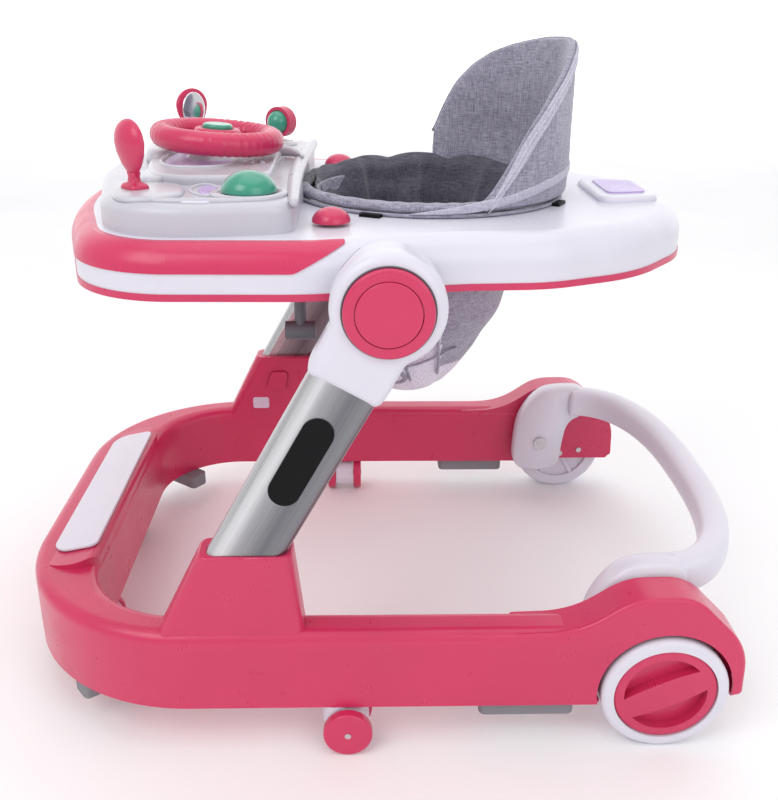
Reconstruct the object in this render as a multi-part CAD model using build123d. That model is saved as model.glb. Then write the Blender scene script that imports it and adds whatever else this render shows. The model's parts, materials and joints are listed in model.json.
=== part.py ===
from build123d import *
import os
from math import atan2, cos, degrees, hypot, radians, sin

# Baby walker: a U-shaped base on six wheels, two aluminium legs that slide in its sockets,
# and a play tray with a sling seat that folds about the hubs at the top of the legs.
# Millimetres. +Z is up, the front (steering wheel) is -Y, the child's left is +X.
# The origin of the files is on the floor, under the middle of the whole walker, and the
# dimensions below are measured from a line ORIGIN_SHIFT_Y in front of it.

# ---- driving dimensions ----
ORIGIN_SHIFT_Y = 10.5
BASE_HALF_WIDTH = 278.0      # outer face of the rails
BASE_INNER_HALF = 239.0      # inner face of the rails
BASE_FRONT_Y = -386.0
BASE_BAR_REAR_Y = -312.0     # rear edge of the front cross bar
BASE_OUTER_R = 180.0
BASE_INNER_R = 97.0
BASE_BOTTOM_Z = 47.0
BASE_TOP_Z = 128.0
RAIL_END_Y = 180.0           # the rail runs into the fender here
WALL = 2.6

WHEEL_Y, WHEEL_Z = 237.5, 60.0
WHEEL_R = 60.0
WHEEL_X0, WHEEL_X1 = 252.0, 282.0
FENDER_X0, FENDER_X1 = 240.0, 277.5
AXLE_R = 4.0

HUB_Y, HUB_Z = -24.0, 428.0
HUB_R = 48.0
LEG_ANGLE = 61.0             # leg above the floor, leaning to the rear
LEG_X0, LEG_X1 = 245.0, 270.0
LEG_WIDTH = 62.0
LEG_WALL = 1.5
LEG_TOP, LEG_BOTTOM = 40.0, 352.0       # distances from the hub, down the leg
HOUSING_X0, HOUSING_X1 = 243.5, 272.0
HOUSING_END = 79.0
HOUSING_WIDTH = 70.0
SOCKET_TOP_Z = 206.0
SLIDE_GAP = 0.3
RUN_GAP = 0.05               # radial clearance of a running fit

HUB_BUTTON_R = 27.0
HUB_BUTTON_TRAVEL = 4.0
PIVOT_R = 6.0
BOSS_R = 46.0
BOSS_X0, BOSS_X1 = 222.0, 243.0

TRAY_BOTTOM_Z, TRAY_RIM_Z, DECK_Z = 428.0, 434.0, 474.0
TRAY_SHOULDER_R = 24.0
TRAY_WALL = 2.2
BAND_SKIN = 1.2
SEAT_Y = 22.0                # centre of the round seat opening
SEAT_HOLE_R = 120.0
CONSOLE_TOP_Z = 500.0
ROLL_R, ROLL_SECTION_R = 126.0, 8.0
CLIP_R = 140.0               # where the clips sit on the deck, from the opening's centre

CASTER_R = 23.0
CASTER_TRAIL = 12.0
CASTER_PIN_R = 4.0
CASTERS = {                  # swivel axis x, y and the way the caster is turned, degrees
    "mid_left": (266.0, -71.0, 0.0),
    "mid_right": (-266.0, -71.0, -90.0),
    "front_left": (110.0, -338.0, 20.0),
    "front_right": (-110.0, -338.0, 180.0),
}

HANDLE_Z = 150.0
HANDLE_HALF = 215.0
HANDLE_START_Y, HANDLE_REAR_Y = 235.0, 350.0
HANDLE_SIDE_R = 100.0
HANDLE_PIVOT_Y, HANDLE_PIVOT_Z = 202.0, 90.0
HANDLE_X0, HANDLE_X1 = 207.0, 234.0
HANDLE_BOLT_R = 5.0

WHEEL_TILT = 4.0             # steering wheel's tilt towards the child
STEER_Y, STEER_Z = -190.0, 528.0
STEER_R, STEER_RIM_R = 55.0, 11.5
MIRROR_X, MIRROR_Y = 157.0, -240.0
DOME_X, DOME_Y, DOME_R = 160.0, -142.0, 24.0
SPINNER_X, SPINNER_Y, SPINNER_Z = -160.0, -142.0, 525.0
LATCH_X, LATCH_Y, LATCH_R = 160.0, -72.0, 17.0


# ---- helpers ----
def save(name, shape):
    """Write one piece, or one group of like pieces, as parts/NAME.step."""
    solids = [Pos(0, ORIGIN_SHIFT_Y, 0) * solid for solid in shape.solids()]
    export_step(Compound(children=solids), f"parts/{name}.step")


def mirrored(shape):
    """The same piece for the child's right side."""
    return mirror(shape, about=Plane.YZ)


def both_sides(shape):
    """A group of the left piece and its mirror image, as separate solids."""
    return Compound(children=[shape, mirrored(shape)])


def outline(corners):
    """A closed face from (x, y, corner radius) points, taken anticlockwise."""
    following = corners[1:] + corners[:1]
    doubled_area = sum(a[0] * b[1] - b[0] * a[1] for a, b in zip(corners, following))
    if doubled_area < 0:
        corners = corners[::-1]
    points = [(x, y) for x, y, _ in corners]
    radii = [r for _, _, r in corners]
    return make_face(FilletPolyline(*points, radius=radii, close=True))


def symmetric(right_half):
    """Corners of an outline that is symmetric in x, from its x >= 0 half, front to rear."""
    left_half = [(-x, y, r) for x, y, r in reversed(right_half) if x > 0]
    return right_half + left_half


def prism(face, z0, z1):
    """A plan outline raised from z0 to z1."""
    return extrude(Pos(0, 0, z0) * face, z1 - z0)


def side_prism(face, x0, x1):
    """A side outline, drawn as (y, z), extruded from x0 to x1."""
    plane = Plane(origin=(x0, 0, 0), x_dir=(0, 1, 0), z_dir=(1, 0, 0))
    return extrude(plane * face, x1 - x0)


def x_rod(radius, y, z, x0, x1):
    """A round bar along X."""
    return side_prism(Pos(y, z) * Circle(radius), x0, x1)


def z_rod(radius, x, y, z0, z1):
    """A round bar along Z."""
    return prism(Pos(x, y) * Circle(radius), z0, z1)


def top_edges(shape):
    return shape.edges().group_by(Axis.Z)[-1]


def outer_edges(shape):
    return shape.edges().group_by(Axis.X)[-1]


def leg_plane(distance):
    """The plane across the left leg, at a distance from the hub down the leg."""
    tilt = radians(LEG_ANGLE)
    along = (0, cos(tilt), sin(tilt))
    middle = (LEG_X0 + LEG_X1) / 2
    origin = (middle, HUB_Y - distance * cos(tilt), HUB_Z - distance * sin(tilt))
    return Plane(origin=origin, x_dir=(1, 0, 0), z_dir=along)


def leg_bar(grow, start, end):
    """A solid of the leg's rounded section, grown all round, between two distances from the hub."""
    section = RectangleRounded(LEG_X1 - LEG_X0 + 2 * grow, LEG_WIDTH + 2 * grow, 9 + grow)
    return extrude(leg_plane(end) * section, end - start)


# ---- base ----
def u_plan(inset):
    """The base's U-shaped plan, moved in from its edge."""
    out = BASE_HALF_WIDTH - inset
    inner = BASE_INNER_HALF + inset
    front = BASE_FRONT_Y + inset
    bar = BASE_BAR_REAR_Y - inset
    end = RAIL_END_Y - inset
    return outline([
        (-out, end, 1), (-out, front, BASE_OUTER_R - inset), (out, front, BASE_OUTER_R - inset),
        (out, end, 1), (inner, end, 1), (inner, bar, BASE_INNER_R + inset),
        (-inner, bar, BASE_INNER_R + inset), (-inner, end, 1)])


def rail_shell():
    body = prism(u_plan(0), BASE_BOTTOM_Z, BASE_TOP_Z)
    body = fillet(top_edges(body), 12)
    hollow = prism(u_plan(WALL), BASE_BOTTOM_Z - 1, BASE_TOP_Z - WALL)
    hollow = fillet(top_edges(hollow), 12 - WALL)
    return body - hollow


def front_rise(inset):
    """The raised middle of the front bar, whose top slopes down to the front."""
    side = outline([(-379, 112, 3), (-313, 112, 1), (-313, 138.5, 8), (-362, 128, 14)])
    plan = outline(symmetric([(166, -380, 44), (166, -313, 22)]))
    if inset:
        side = Pos(0, -inset) * offset(side, -inset / 2)
        plan = offset(plan, -inset)
    return side_prism(side, -175, 175) & prism(plan, 100, 150)


def fender():
    """The hood over the left rear wheel, open to the outside, with an inner wall."""
    side = outline([
        (92, 52, 1), (92, 125, 4), (150, 127, 90), (200, 162, 60), (256, 163, 45),
        (310, 108, 60), (312, 56, 5), (296, 52, 4)])
    hood = side_prism(side, FENDER_X0, FENDER_X1)
    hood = fillet(outer_edges(hood), 4)
    hood = hood - side_prism(offset(side, -3), 247, FENDER_X1 - 3)
    return hood - x_rod(WHEEL_R + 4, WHEEL_Y, WHEEL_Z, 247, 300)


def socket():
    """The tapered socket that the left leg slides in."""
    foot = Pos(256.5, -165.5, 118) * RectangleRounded(35, 137, 8)
    rim = Pos(254.5, -148.5, SOCKET_TOP_Z) * RectangleRounded(37, 83, 10)
    block = loft([foot, rim])
    return fillet(top_edges(block), 2.5)


def button_outline():
    """The height button's rounded parallelogram on the socket's inner face, as (y, z)."""
    return outline([(-178, 160, 4), (-152, 160, 4), (-146, 186, 6), (-170, 186, 6)])


def height_button():
    """Left height button: a cap standing out of the socket's inner face."""
    return side_prism(button_outline(), 233.5, 239.5)


def window_outline():
    return Pos(-186, 139) * RectangleRounded(22, 16, 3)


def base_shell():
    shell = rail_shell() + front_rise(0) - front_rise(WALL)
    left = fender() + socket()
    shell = shell + left + mirrored(left)
    pocket = side_prism(offset(button_outline(), 0.5), 225, 243)
    window = side_prism(window_outline(), 237, 241)
    well = x_rod(WHEEL_R + 4, WHEEL_Y, WHEEL_Z, 247, 300)
    axle = x_rod(AXLE_R, WHEEL_Y, WHEEL_Z, 235, 250)
    bolt = x_rod(HANDLE_BOLT_R, HANDLE_PIVOT_Y, HANDLE_PIVOT_Z, 235, 246)
    cuts = [leg_bar(SLIDE_GAP, LEG_TOP, LEG_BOTTOM + 12), pocket, window, well, axle, bolt]
    for cut in cuts:
        shell = shell - cut - mirrored(cut)
    return shell


def base_bottom_cover():
    """The plate that closes the base from below, with a boss for each caster's pin."""
    plate = prism(u_plan(WALL + 0.2), BASE_BOTTOM_Z, BASE_BOTTOM_Z + 3)
    for x, y, _ in CASTERS.values():
        plate = plate + z_rod(8.4, x, y, BASE_BOTTOM_Z, 82)
    for x, y, _ in CASTERS.values():
        plate = plate - z_rod(CASTER_PIN_R + RUN_GAP, x, y, BASE_BOTTOM_Z - 1, 79)
    return plate


def front_label_plate():
    """A plain white plate on the sloping top of the front bar."""
    face = outline(symmetric([(140, -24, 20), (140, 24, 9)]))
    slope = degrees(atan2(11, 53))
    place = Pos(0, -340, 133.9) * Rot(slope, 0, 0)
    plate = place * extrude(face, 2.5)
    return fillet(top_edges(plate), 0.8)


def wheel_guards():
    """Inner plates over the wheels' inner faces, beside the fenders."""
    side = outline([
        (196, 53, 3), (196, 134, 30), (288, 134, 36), (306, 92, 20), (306, 53, 4)])
    plate = side_prism(side, 236, 240)
    plate = plate - x_rod(AXLE_R, WHEEL_Y, WHEEL_Z, 230, 245)
    plate = plate - x_rod(HANDLE_BOLT_R, HANDLE_PIVOT_Y, HANDLE_PIVOT_Z, 230, 245)
    return both_sides(plate)


def stop_pads():
    """Four rubber pads under the base that grip a step's edge."""
    z0, z1 = 29.0, BASE_BOTTOM_Z
    rear = prism(outline([(245, 65, 6), (271, 65, 6), (271, 155, 6), (245, 155, 6)]), z0, z1)
    front = Pos(216, -295, 0) * Rot(0, 0, 38) * prism(RectangleRounded(26, 62, 6), z0, z1)
    pads = [fillet(pad.edges().group_by(Axis.Z)[0], 3) for pad in (rear, front)]
    return Compound(children=pads + [mirrored(pad) for pad in pads])


def rear_axles():
    return both_sides(x_rod(AXLE_R, WHEEL_Y, WHEEL_Z, 235.7, 272))


def handle_pivot_bolts():
    shank = x_rod(HANDLE_BOLT_R, HANDLE_PIVOT_Y, HANDLE_PIVOT_Z, 206.4, 246)
    head = x_rod(9, HANDLE_PIVOT_Y, HANDLE_PIVOT_Z, 203.4, 206.4)
    return both_sides(shank + head)


def base_screws():
    """Screws through the wheel guards and up into the base from below."""
    guard = x_rod(3.6, 264, 66, 234.2, 236)
    below = [z_rod(3.6, x, y, BASE_BOTTOM_Z - 1.6, BASE_BOTTOM_Z)
             for x, y in ((262, 30), (262, -130), (190, -330))]
    screws = [guard] + below
    return Compound(children=screws + [mirrored(screw) for screw in screws])


def height_windows():
    """Small clear windows in the sockets that show the height setting."""
    return both_sides(side_prism(window_outline(), 237.2, 240.8))


# ---- push handle ----
def handle_path():
    """A three-centred arch in plan, from the left end round the rear to the right end."""
    rise = HANDLE_REAR_Y - HANDLE_START_Y
    side_x = HANDLE_HALF - HANDLE_SIDE_R
    large_r = (side_x ** 2 + rise ** 2 - HANDLE_SIDE_R ** 2) / (2 * (rise - HANDLE_SIDE_R))
    span = hypot(side_x, large_r - rise)
    joint_x = side_x + HANDLE_SIDE_R * side_x / span
    joint_y = HANDLE_START_Y + HANDLE_SIDE_R * (large_r - rise) / span
    joint = (joint_x, joint_y, HANDLE_Z)
    start = (HANDLE_HALF, HANDLE_START_Y, HANDLE_Z)
    side = TangentArc(start, joint, tangent=(0, 1, 0))
    middle = ThreePointArc(joint, (0, HANDLE_REAR_Y, HANDLE_Z), (-joint_x, joint_y, HANDLE_Z))
    far = mirrored(side)
    return Wire([side.edge(), middle.edge(), far.edge()])


def handle_end():
    """The wide leg at the handle's left end, which arches over to the bar."""
    side = outline([
        (167, 48, 8), (171, 112, 40), (196, 164, 40), (252, 170, 22), (252, 131, 6),
        (236, 122, 14), (230, 48, 8)])
    leg = side_prism(side, HANDLE_X0, HANDLE_X1)
    leg = fillet(leg.edges().group_by(Axis.X)[0], 5)
    leg = leg - side_prism(offset(side, -4), HANDLE_X0 + 4, HANDLE_X1 + 1)
    leg = leg + x_rod(10, HANDLE_PIVOT_Y, HANDLE_PIVOT_Z, HANDLE_X0 + 2, HANDLE_X1)
    bore = x_rod(HANDLE_BOLT_R + RUN_GAP, HANDLE_PIVOT_Y, HANDLE_PIVOT_Z, 200, 240)
    return leg - bore


def push_handle():
    """White U-shaped bar, a channel open from below, with a hollow leg at each end."""
    start = Plane(origin=(HANDLE_HALF, HANDLE_START_Y, HANDLE_Z), x_dir=(-1, 0, 0),
                  z_dir=(0, 1, 0))
    path = handle_path()
    bar = sweep(start * RectangleRounded(30, 40, 13), path=path)
    bar = bar - sweep(start * (Pos(0, -6.5) * RectangleRounded(24, 45, 9)), path=path)
    end = handle_end()
    return bar + end + mirrored(end)


# ---- rear wheels ----
def wheel_tyre():
    """White tyre with a spoked inner web and a hub that runs on the axle."""
    ring = x_rod(WHEEL_R, WHEEL_Y, WHEEL_Z, WHEEL_X0, WHEEL_X1)
    ring = fillet(ring.edges(), 5)
    ring = ring - x_rod(49, WHEEL_Y, WHEEL_Z, WHEEL_X0 + 4, WHEEL_X1 + 1)
    ring = ring - x_rod(44, WHEEL_Y, WHEEL_Z, WHEEL_X0 - 1, WHEEL_X0 + 5)
    hub = x_rod(11, WHEEL_Y, WHEEL_Z, WHEEL_X0, WHEEL_X0 + 6)
    web = x_rod(46, WHEEL_Y, WHEEL_Z, WHEEL_X0 + 4, WHEEL_X0 + 6)
    spokes = [side_prism(Pos(WHEEL_Y, WHEEL_Z) * Rot(0, 0, 60 * i) * Rectangle(90, 5),
                         WHEEL_X0 + 1, WHEEL_X0 + 5) for i in range(3)]
    tyre = ring + hub + web
    for spoke in spokes:
        tyre = tyre + spoke
    return tyre - x_rod(AXLE_R + RUN_GAP, WHEEL_Y, WHEEL_Z, WHEEL_X0 - 1, WHEEL_X1)


def wheel_cap():
    """Pink cap with two scoops that leave a grip bar across its face."""
    cap = x_rod(48.8, WHEEL_Y, WHEEL_Z, WHEEL_X0 + 6.2, WHEEL_X1 - 1)
    cap = fillet(outer_edges(cap), 3)
    scoop = (Pos(0, 33) * Rectangle(90, 44)) & Circle(39)
    scoop = scoop - Pos(0, 2) * Ellipse(60, 12)
    scoops = scoop + mirror(scoop, about=Plane.XZ)
    place = Pos(WHEEL_Y, WHEEL_Z) * Rot(0, 0, 25)
    cap = cap - side_prism(place * scoops, WHEEL_X1 - 11, WHEEL_X1 + 1)
    return cap - x_rod(AXLE_R + RUN_GAP, WHEEL_Y, WHEEL_Z, WHEEL_X0, 273)


# ---- casters, drawn with the swivel axis at the origin and the axle along X ----
def caster_fork():
    """White hood between the two wheels."""
    body = x_rod(20, CASTER_TRAIL, CASTER_R, -12, 12)
    body = body & Box(60, 60, 60).moved(Pos(0, CASTER_TRAIL - 4, CASTER_R + 22))
    neck = z_rod(12, 0, 0, 26, BASE_BOTTOM_Z - 0.6)
    fork = body + neck + x_rod(8, CASTER_TRAIL, CASTER_R, -12, 12)
    fork = fork - x_rod(3, CASTER_TRAIL, CASTER_R, -13, 13)
    return fork - z_rod(CASTER_PIN_R, 0, 0, 33, 60)


def caster_pins():
    """The steel swivel pin and the steel axle."""
    swivel = z_rod(CASTER_PIN_R, 0, 0, 33, 78)
    axle = x_rod(3, CASTER_TRAIL, CASTER_R, -24.1, 24.1)
    return Compound(children=[swivel, axle])


def caster_wheels():
    """The twin pink wheels on their axle."""
    disc = x_rod(CASTER_R, CASTER_TRAIL, CASTER_R, 12.6, 23.5)
    disc = fillet(disc.edges(), 2.5)
    disc = disc - x_rod(3 + RUN_GAP, CASTER_TRAIL, CASTER_R, 10, 25)
    return both_sides(disc)


# ---- legs and hubs ----
def leg_tube():
    tube = leg_bar(0, LEG_TOP, LEG_BOTTOM)
    return tube - leg_bar(-LEG_WALL, LEG_TOP - 1, LEG_BOTTOM + 1)


def leg_plates():
    """A plain black pill-shaped plate on each leg's outer face."""
    tilt = radians(LEG_ANGLE)
    plane = Plane(origin=(LEG_X1, HUB_Y - 150 * cos(tilt), HUB_Z - 150 * sin(tilt)),
                  x_dir=(0, cos(tilt), sin(tilt)), z_dir=(1, 0, 0))
    return both_sides(extrude(plane * SlotOverall(88, 28), 1.6))


def leg_housing():
    """White hub housing at the top of the left leg, with a sleeve for the leg."""
    sleeve = Rot(0, 0, LEG_ANGLE) * Pos(-HOUSING_END / 2, 0) * Rectangle(HOUSING_END, HOUSING_WIDTH)
    face = Pos(HUB_Y, HUB_Z) * (Circle(HUB_R) + sleeve)
    body = side_prism(face, HOUSING_X0, HOUSING_X1)
    body = fillet(outer_edges(body), 1.7)
    body = body - leg_bar(0, LEG_TOP, LEG_BOTTOM)
    body = body - x_rod(HUB_BUTTON_R + 0.35, HUB_Y, HUB_Z, 258, 275)
    return body - x_rod(PIVOT_R, HUB_Y, HUB_Z, 240, 259)


def hub_rings():
    ring = x_rod(36.8, HUB_Y, HUB_Z, HOUSING_X1, 278.5)
    ring = fillet(outer_edges(ring), 2.5)
    return both_sides(ring - x_rod(27.6, HUB_Y, HUB_Z, 270, 280))


def hub_button():
    button = x_rod(HUB_BUTTON_R, HUB_Y, HUB_Z, 258.5 + HUB_BUTTON_TRAVEL, 279.5)
    return fillet(outer_edges(button), 1.5)


def tray_pivots():
    """Steel pins that the tray folds on."""
    pin = x_rod(PIVOT_R, HUB_Y, HUB_Z, 223, 258)
    return both_sides(pin)


# ---- tray ----
def tray_plan():
    return outline(symmetric([
        (0, -346, 400), (241, -272, 95), (241, -85, 200), (208, 35, 200), (203, 115, 120),
        (165, 200, 150), (88, 262, 120), (0, 282, 200)]))


def tray_body(grow):
    """The tray's upper form with its rounded shoulder, grown all round."""
    plan = offset(tray_plan(), grow) if grow else tray_plan()
    body = prism(plan, TRAY_RIM_Z, DECK_Z + grow)
    return fillet(top_edges(body), TRAY_SHOULDER_R + grow)


def hub_recess():
    """Room in the tray for the two hinge bosses."""
    return both_sides(x_rod(BOSS_R + 0.2, HUB_Y, HUB_Z, BOSS_X0 - 0.2, 260))


def rear_boss():
    """The raised block at the back of the deck, with a finger scoop behind it."""
    block = prism(outline(symmetric([(62, 188, 14), (46, 250, 14)])), DECK_Z - 10, DECK_Z + 6)
    return fillet(top_edges(block), 4)


def tray_upper_shell():
    shell = tray_body(0) + rear_boss()
    cavity = tray_body(-TRAY_WALL) - z_rod(SEAT_HOLE_R + TRAY_WALL, 0, SEAT_Y, 400, 500)
    shell = shell - cavity - Pos(0, 0, -6) * cavity
    shell = shell - z_rod(SEAT_HOLE_R, 0, SEAT_Y, 400, 500)
    scoop = Pos(0, 266, DECK_Z + 12) * Sphere(16)
    return shell - scoop - hub_recess()


def tray_lower_shell():
    """Pink pan that closes the tray from below and shows as a thin line round it."""
    pan = prism(offset(tray_plan(), 0.8), TRAY_BOTTOM_Z, TRAY_RIM_Z)
    inside = prism(offset(tray_plan(), -2.0), TRAY_BOTTOM_Z + 2.5, TRAY_RIM_Z + 1)
    inside = inside - z_rod(SEAT_HOLE_R + 2, 0, SEAT_Y, 400, 500)
    pan = pan - inside - z_rod(SEAT_HOLE_R, 0, SEAT_Y, 400, 500)
    return pan - hub_recess()


def tray_band():
    """Pink skin round the front shoulder, with ends cut on the slant."""
    skin = tray_body(BAND_SKIN) - tray_body(0)
    side = outline([(-380, 451, 1), (-100, 451, 14), (-56, DECK_Z - 0.2, 1), (-380, DECK_Z - 0.2, 1)])
    return skin & side_prism(side, -260, 260)


def tray_hinge_bosses():
    boss = x_rod(BOSS_R, HUB_Y, HUB_Z, BOSS_X0, BOSS_X1)
    pocket = x_rod(BOSS_R - 4, HUB_Y, HUB_Z, BOSS_X0 - 1, BOSS_X1 - 4)
    boss = boss - (pocket - x_rod(12, HUB_Y, HUB_Z, BOSS_X0 - 1, BOSS_X1))
    return both_sides(boss - x_rod(PIVOT_R + RUN_GAP, HUB_Y, HUB_Z, 215, 250))


def console_plan(inset):
    return outline(symmetric([
        (0, -306 + inset, 300), (206 - inset, -260 + inset, 70), (214 - inset, -190, 100),
        (198 - inset, -102 - inset, 22)]))


def console_shell():
    """Pale play panel with a raised middle under the steering wheel."""
    body = fillet(top_edges(prism(console_plan(0), DECK_Z, CONSOLE_TOP_Z)), 9)
    mound_plan = outline(symmetric([(0, -262, 200), (118, -236, 45), (112, -130, 35)]))
    mound = fillet(top_edges(prism(mound_plan, CONSOLE_TOP_Z - 4, CONSOLE_TOP_Z + 8)), 5)
    cone = Pos(0, STEER_Y, CONSOLE_TOP_Z + 10) * Cone(36, 26, 10)
    cavity = prism(console_plan(2.5), DECK_Z - 1, CONSOLE_TOP_Z - 2.5)
    cavity = fillet(top_edges(cavity), 7)
    panel = body + mound + cone - cavity
    panel = panel - z_rod(ROLL_R + ROLL_SECTION_R + 1.5, 0, SEAT_Y, 470, 540)
    rim = (body & z_rod(ROLL_R + ROLL_SECTION_R + 4, 0, SEAT_Y, DECK_Z, CONSOLE_TOP_Z))
    rim = rim - z_rod(ROLL_R + ROLL_SECTION_R + 1.5, 0, SEAT_Y, 470, 540)
    panel = panel + rim
    dome_pocket = z_rod(DOME_R + 0.4, DOME_X, DOME_Y, CONSOLE_TOP_Z - 1, 520)
    stem = z_rod(8.4, DOME_X, DOME_Y, 485, 510)
    steer = steering_shaft(8.05, -30, -2)
    posts = [z_rod(4.05, side * MIRROR_X, MIRROR_Y, 490, 510) for side in (-1, 1)]
    for cut in [dome_pocket, stem, steer] + posts:
        panel = panel - cut
    return panel


def rear_label_plate():
    return prism(outline(symmetric([(40, 200, 8), (32, 240, 8)])), DECK_Z + 6, DECK_Z + 7.5)


def seat_bucket():
    """Sling seat: a fabric bowl hung in the opening, with two leg holes at the front."""
    def bowl(inset):
        profile = make_face(Polyline(
            (0, 268 + inset), (62 - inset, 272 + inset), (88 - inset, 310), (106 - inset, 400),
            (117.5 - inset, DECK_Z - 10), (117.5 - inset, DECK_Z + 6 + inset),
            (0, DECK_Z + 6 + inset), close=True))
        return Pos(0, SEAT_Y, 0) * revolve(Plane.XZ * profile, Axis.Z)
    seat = bowl(0) - bowl(3)
    for side in (-1, 1):
        hole = Plane.XZ * Pos(side * 48, 335) * RectangleRounded(62, 96, 26)
        seat = seat - extrude(hole, 150)
    return seat


def seat_rim_roll():
    roll = Pos(0, SEAT_Y, DECK_Z + ROLL_SECTION_R + 0.3) * Torus(ROLL_R, ROLL_SECTION_R)
    return roll


def seat_backrest():
    """High curved backrest behind the child, lowest at its front corners."""
    wall = z_rod(136, 0, SEAT_Y, DECK_Z + 17.5, 618) - z_rod(121, 0, SEAT_Y, DECK_Z, 620)
    side = outline([(46, DECK_Z, 1), (185, DECK_Z, 1), (185, 620, 1), (136, 620, 18)])
    return wall & side_prism(side, -140, 140)


def seat_clips():
    """Black clips that hold the seat's edge to the opening."""
    clips = []
    for angle in (205, 335, 62, 118):
        x = CLIP_R * cos(radians(angle))
        y = SEAT_Y + CLIP_R * sin(radians(angle))
        clips.append(Pos(x, y, DECK_Z + 1.5) * Rot(0, 0, angle) * Box(8, 20, 3))
    return Compound(children=clips)


def strap_hooks():
    """Grey hooks under the tray that hold the seat's straps."""
    stem = z_rod(5, 205, -98, 396, TRAY_BOTTOM_Z)
    knob = Pos(205, -98, 392) * Rot(90, 0, 0) * Cylinder(8, 26)
    return both_sides(stem + knob)


def tray_screws():
    spots = [(60, -300), (185, -230), (180, 70), (70, 240)]
    screws = [z_rod(3.6, x, y, TRAY_BOTTOM_Z - 1.6, TRAY_BOTTOM_Z) for x, y in spots]
    return Compound(children=screws + [mirrored(screw) for screw in screws])


# ---- play pieces ----
def steering_plane(height):
    """The plane across the steering axis, at a height above the wheel's middle."""
    tilt = radians(WHEEL_TILT)
    axis = Vector(0, sin(tilt), cos(tilt))
    return Plane(origin=Vector(0, STEER_Y, STEER_Z) + axis * height, x_dir=(1, 0, 0), z_dir=axis)


def steering_shaft(radius, low, high):
    return extrude(steering_plane(low) * Circle(radius), high - low)


def steering_wheel():
    rim = steering_plane(0).location * Torus(STEER_R, STEER_RIM_R)
    hub = fillet(steering_shaft(24, -6, 8).edges(), 3)
    wheel = rim + hub
    for turn in (90, 210, 330):
        spoke = Rot(0, 0, turn) * Pos(STEER_R / 2, 0) * Rectangle(STEER_R - 2, 16)
        wheel = wheel + extrude(steering_plane(-5) * spoke, 9)
    wheel = wheel + steering_shaft(8, -26, -5)
    return wheel - steering_shaft(15.3, 2, 20)


def horn_button():
    button = steering_shaft(15, 5, 13)
    return fillet(top_edges(button), 3)


def mirror_shell():
    """Pink mirror housing on a short stalk with a round foot."""
    foot = z_rod(9, MIRROR_X, MIRROR_Y, CONSOLE_TOP_Z + 0.4, CONSOLE_TOP_Z + 4)
    stalk = z_rod(4.5, MIRROR_X, MIRROR_Y, CONSOLE_TOP_Z + 0.4, 515)
    pin = z_rod(4, MIRROR_X, MIRROR_Y, CONSOLE_TOP_Z - 6, CONSOLE_TOP_Z + 1)
    head = Pos(MIRROR_X, MIRROR_Y, 535) * scale(Sphere(24), by=(0.86, 0.36, 1))
    head = head & Box(80, 40, 80).moved(Pos(MIRROR_X, MIRROR_Y - 18, 540))
    return foot + stalk + pin + head


def mirror_glass():
    face = Plane(origin=(MIRROR_X, MIRROR_Y + 3.6, 536), x_dir=(1, 0, 0), z_dir=(0, -1, 0))
    return extrude(face * Ellipse(16.5, 20), 1.6)


def mirror_piece(piece):
    """Turn a left mirror piece inwards, to face the child."""
    return piece.rotate(Axis((MIRROR_X, MIRROR_Y, 0), (0, 0, 1)), 25)


def dome_button():
    """Green press dome with its stem."""
    dome = Pos(DOME_X, DOME_Y, CONSOLE_TOP_Z + 2.5) * scale(Sphere(DOME_R), by=(1, 1, 0.75))
    dome = dome & Box(60, 60, 40).moved(Pos(DOME_X, DOME_Y, CONSOLE_TOP_Z + 23))
    return dome + z_rod(8, DOME_X, DOME_Y, CONSOLE_TOP_Z - 9, CONSOLE_TOP_Z + 4)


def spinner_frame():
    """Pink cup on a post, standing on the console, that the green ball spins in."""
    cup = Cylinder(17, 17.5) - Pos(0, 0, 1.8) * Cylinder(13.4, 17.5)
    cup = fillet(cup.edges().filter_by(GeomType.CIRCLE).sort_by(Axis.Z)[0], 5)
    facing = Pos(SPINNER_X, SPINNER_Y, SPINNER_Z) * Rot(0, 0, -30) * Rot(0, 90, 0)
    post = z_rod(5, SPINNER_X, SPINNER_Y, CONSOLE_TOP_Z, SPINNER_Z - 14.5)
    return facing * Pos(0, 0, -6.7) * cup + post


def spinner_ball():
    return Pos(SPINNER_X, SPINNER_Y, SPINNER_Z) * Sphere(13)


def console_latch():
    """Pink domed button beside the console's end that lets the panel go."""
    dome = Pos(LATCH_X, LATCH_Y, DECK_Z + 3) * scale(Sphere(LATCH_R), by=(1, 1, 0.72))
    return dome & Box(60, 60, 30).moved(Pos(LATCH_X, LATCH_Y, DECK_Z + 18))


# ---- write every piece ----
SINGLE_PIECES = [
    base_shell, base_bottom_cover, front_label_plate, wheel_guards, stop_pads, rear_axles,
    handle_pivot_bolts, base_screws, height_windows, push_handle, leg_plates, hub_rings,
    tray_pivots, tray_upper_shell, tray_lower_shell, tray_band, tray_hinge_bosses, console_shell,
    rear_label_plate, seat_bucket, seat_rim_roll, seat_backrest, seat_clips, strap_hooks,
    tray_screws, steering_wheel, horn_button, dome_button, spinner_frame, spinner_ball]

PAIRED_PIECES = {
    "height_button": height_button, "leg_tube": leg_tube, "leg_housing": leg_housing,
    "hub_button": hub_button, "console_latch": console_latch,
    "rear_wheel_{}_tyre": wheel_tyre, "rear_wheel_{}_cap": wheel_cap,
    "mirror_{}_shell": lambda: mirror_piece(mirror_shell()),
    "mirror_{}_glass": lambda: mirror_piece(mirror_glass())}

CASTER_PIECES = {"fork": caster_fork, "pins": caster_pins, "wheels": caster_wheels}

os.makedirs("parts", exist_ok=True)

for build in SINGLE_PIECES:
    save(build.__name__, build())

for label, build in PAIRED_PIECES.items():
    pattern = label if "{}" in label else label + "_{}"
    left = build()
    save(pattern.format("left"), left)
    save(pattern.format("right"), mirrored(left))

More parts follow.
